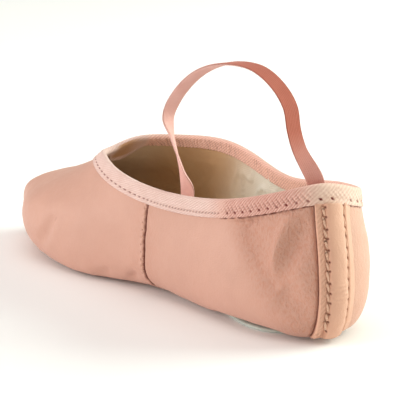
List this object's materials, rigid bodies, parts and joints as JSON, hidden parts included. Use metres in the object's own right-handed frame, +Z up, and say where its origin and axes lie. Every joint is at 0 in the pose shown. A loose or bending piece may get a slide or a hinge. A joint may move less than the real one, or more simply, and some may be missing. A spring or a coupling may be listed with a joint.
{
  "type": "demi-pointe shoe",
  "caption": "Soft pink leather demi-pointe dance slipper, open at the tape-bound collar, with a thin suede sole, a heel strip and a loop of flat elastic, standing empty.",
  "frame": {"origin": "on the standing plane, under the middle of the shoe's bounding box", "axes": "+X towards the toe, +Y towards the shoe's left side, +Z up"},
  "size_m": [0.232, 0.0744, 0.1034],
  "materials": {
    "leather": "satin",
    "suede": "matte",
    "lining": "matte",
    "tape": "matte",
    "elastic": "matte"
  },
  "bodies": {
    "root": {"upper": "leather", "outsole": "suede", "insole": "lining", "collar_binding": "tape", "backstay": "leather", "elastic_strap": "elastic"}
  },
  "joints": []
}
